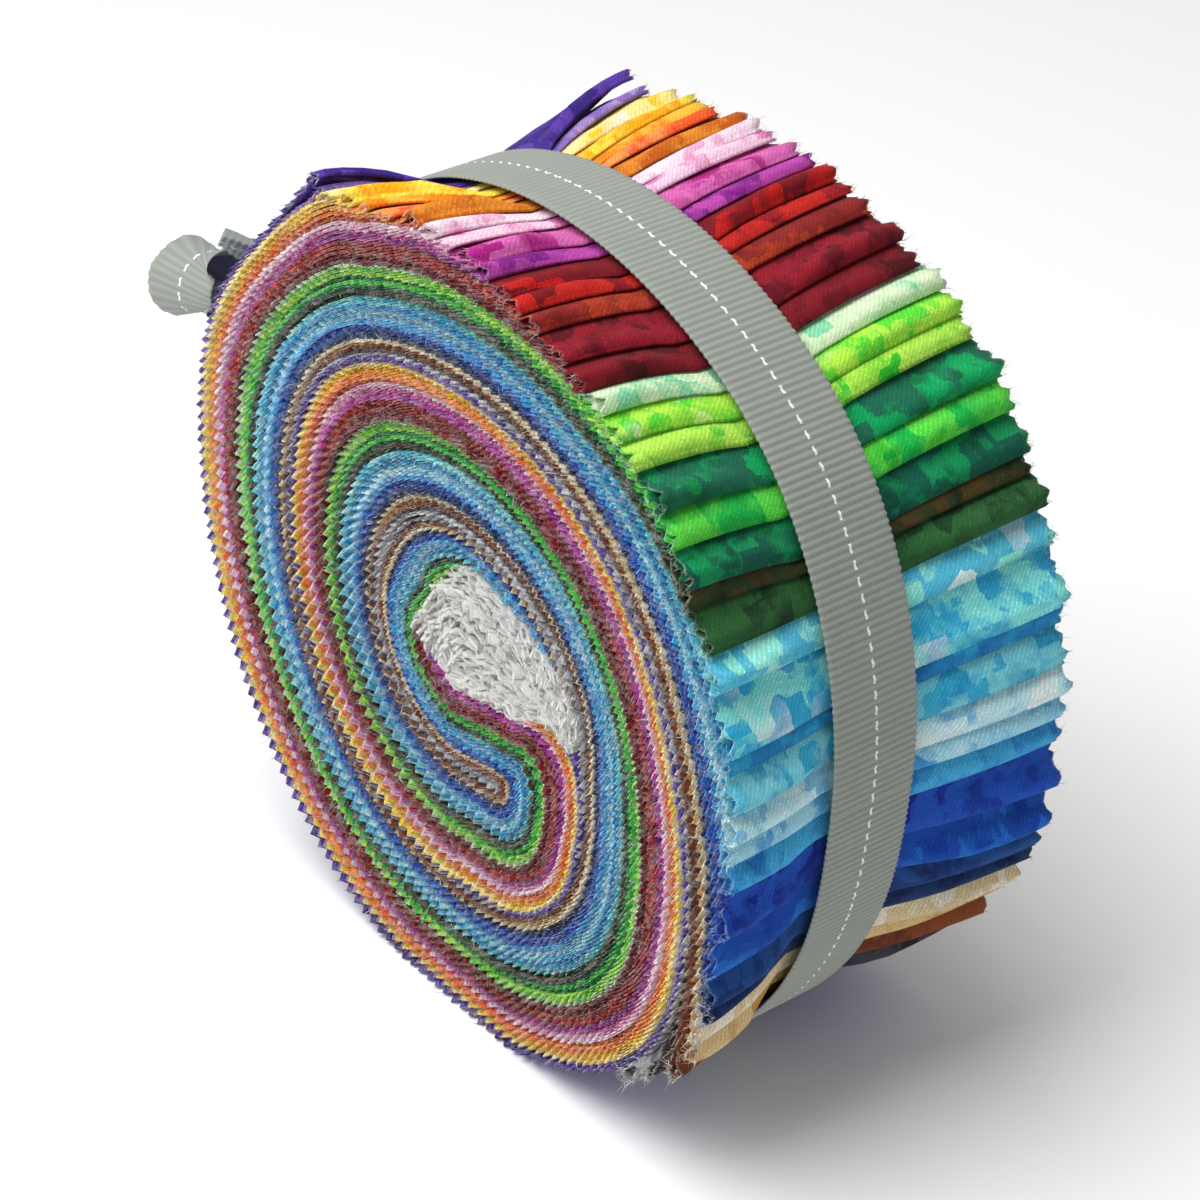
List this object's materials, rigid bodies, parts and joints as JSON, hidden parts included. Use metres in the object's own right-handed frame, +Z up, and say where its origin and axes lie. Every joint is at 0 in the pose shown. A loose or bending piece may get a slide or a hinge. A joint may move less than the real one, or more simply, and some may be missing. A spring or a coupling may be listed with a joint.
{
  "type": "fabric strip roll",
  "caption": "Roll of folded, pinked fabric strips in graded rainbow prints, wound flat-ended like a wheel and tied round its waist with a grey ribbon and a small bow.",
  "frame": {"origin": "on the surface the roll stands on, below the middle of the whole part's bounding box", "axes": "+Z up; Y along the roll's axis, with the face that the picture shows towards -Y; +X to the right of that face, with the bow on the -X side"},
  "size_m": [0.1627, 0.0644, 0.1474],
  "materials": {
    "mixed_cotton": "matte printed quilting cotton, pinked edges",
    "purple_cotton": "matte printed quilting cotton, pinked edges",
    "grey_ribbon": "ribbed grosgrain with a soft sheen and a pale dashed line"
  },
  "bodies": {
    "root": {"roll": "mixed_cotton", "loose_end_near": "purple_cotton", "loose_end_far": "purple_cotton", "ribbon_band": "grey_ribbon", "ribbon_knot": "grey_ribbon", "bow_loop_near": "grey_ribbon", "bow_loop_far": "grey_ribbon", "bow_tail_near": "grey_ribbon", "bow_tail_far": "grey_ribbon"}
  },
  "joints": []
}
